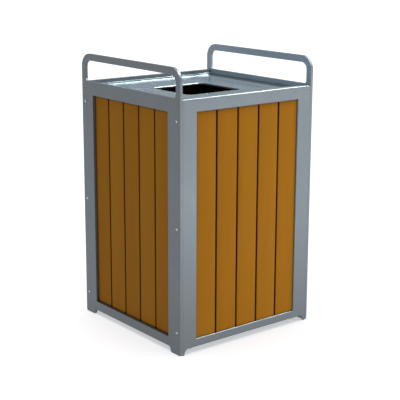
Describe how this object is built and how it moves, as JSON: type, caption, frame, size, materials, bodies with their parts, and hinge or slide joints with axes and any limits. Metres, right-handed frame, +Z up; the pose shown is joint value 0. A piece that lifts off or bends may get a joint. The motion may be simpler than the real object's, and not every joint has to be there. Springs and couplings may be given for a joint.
{
  "type": "litter bin",
  "caption": "Square slatted litter bin with plate side frames rising as handle loops, upright boards on each face, a recessed lift-out top pan with a square opening, and a round liner inside.",
  "frame": {"origin": "on the ground at the middle of the footprint", "axes": "+Z up, -Y the front face, +X to the right seen from the front; the side frames and handle loops lie at -X and +X"},
  "size_m": [0.616, 0.606, 1.012],
  "materials": {
    "frame_powder_coat": "silver powder coat, satin",
    "pan_powder_coat": "silver powder coat, semi-gloss",
    "board_lumber": "golden-brown recycled-plastic lumber, satin with a faint grain",
    "inner_steel": "grey primer",
    "stainless": "plain stainless",
    "neoprene": "matt black",
    "liner_plastic": "black moulded plastic"
  },
  "bodies": {
    "enclosure": {"side_frame_left": "frame_powder_coat", "side_frame_right": "frame_powder_coat", "front_frame": "frame_powder_coat", "rear_frame": "frame_powder_coat", "front_board_1": "board_lumber", "front_board_2": "board_lumber", "front_board_3": "board_lumber", "front_board_4": "board_lumber", "front_board_5": "board_lumber", "left_board_1": "board_lumber", "left_board_2": "board_lumber", "left_board_3": "board_lumber", "left_board_4": "board_lumber", "left_board_5": "board_lumber", "rear_board_1": "board_lumber", "rear_board_2": "board_lumber", "rear_board_3": "board_lumber", "rear_board_4": "board_lumber", "rear_board_5": "board_lumber", "right_board_1": "board_lumber", "right_board_2": "board_lumber", "right_board_3": "board_lumber", "right_board_4": "board_lumber", "right_board_5": "board_lumber", "front_strap_low": "inner_steel", "front_strap_mid": "inner_steel", "front_strap_high": "inner_steel", "left_strap_low": "inner_steel", "left_strap_mid": "inner_steel", "left_strap_high": "inner_steel", "rear_strap_low": "inner_steel", "rear_strap_mid": "inner_steel", "rear_strap_high": "inner_steel", "right_strap_low": "inner_steel", "right_strap_mid": "inner_steel", "right_strap_high": "inner_steel", "front_board_screws": "stainless", "left_board_screws": "stainless", "rear_board_screws": "stainless", "right_board_screws": "stainless", "frame_bolts_left": "stainless", "frame_bolts_right": "stainless", "frame_washers_left": "stainless", "frame_washers_right": "stainless", "frame_nuts_left": "stainless", "frame_nuts_right": "stainless", "base_plate": "inner_steel", "base_bolts": "stainless", "base_nuts": "stainless", "pan_pads": "neoprene"},
    "pan": {"top_pan": "pan_powder_coat"},
    "liner": {"liner": "liner_plastic"}
  },
  "joints": [
    {"name": "pan_lift", "type": "slide", "parent": "enclosure", "child": "pan", "axis": [0, 0, 1], "range_m": [0, 1]},
    {"name": "liner_lift", "type": "slide", "parent": "enclosure", "child": "liner", "axis": [0, 0, 1], "range_m": [0, 0.9]}
  ],
  "couplings": [
    {"joint": "liner_lift", "follows": "pan_lift", "ratio": 0.9}
  ]
}
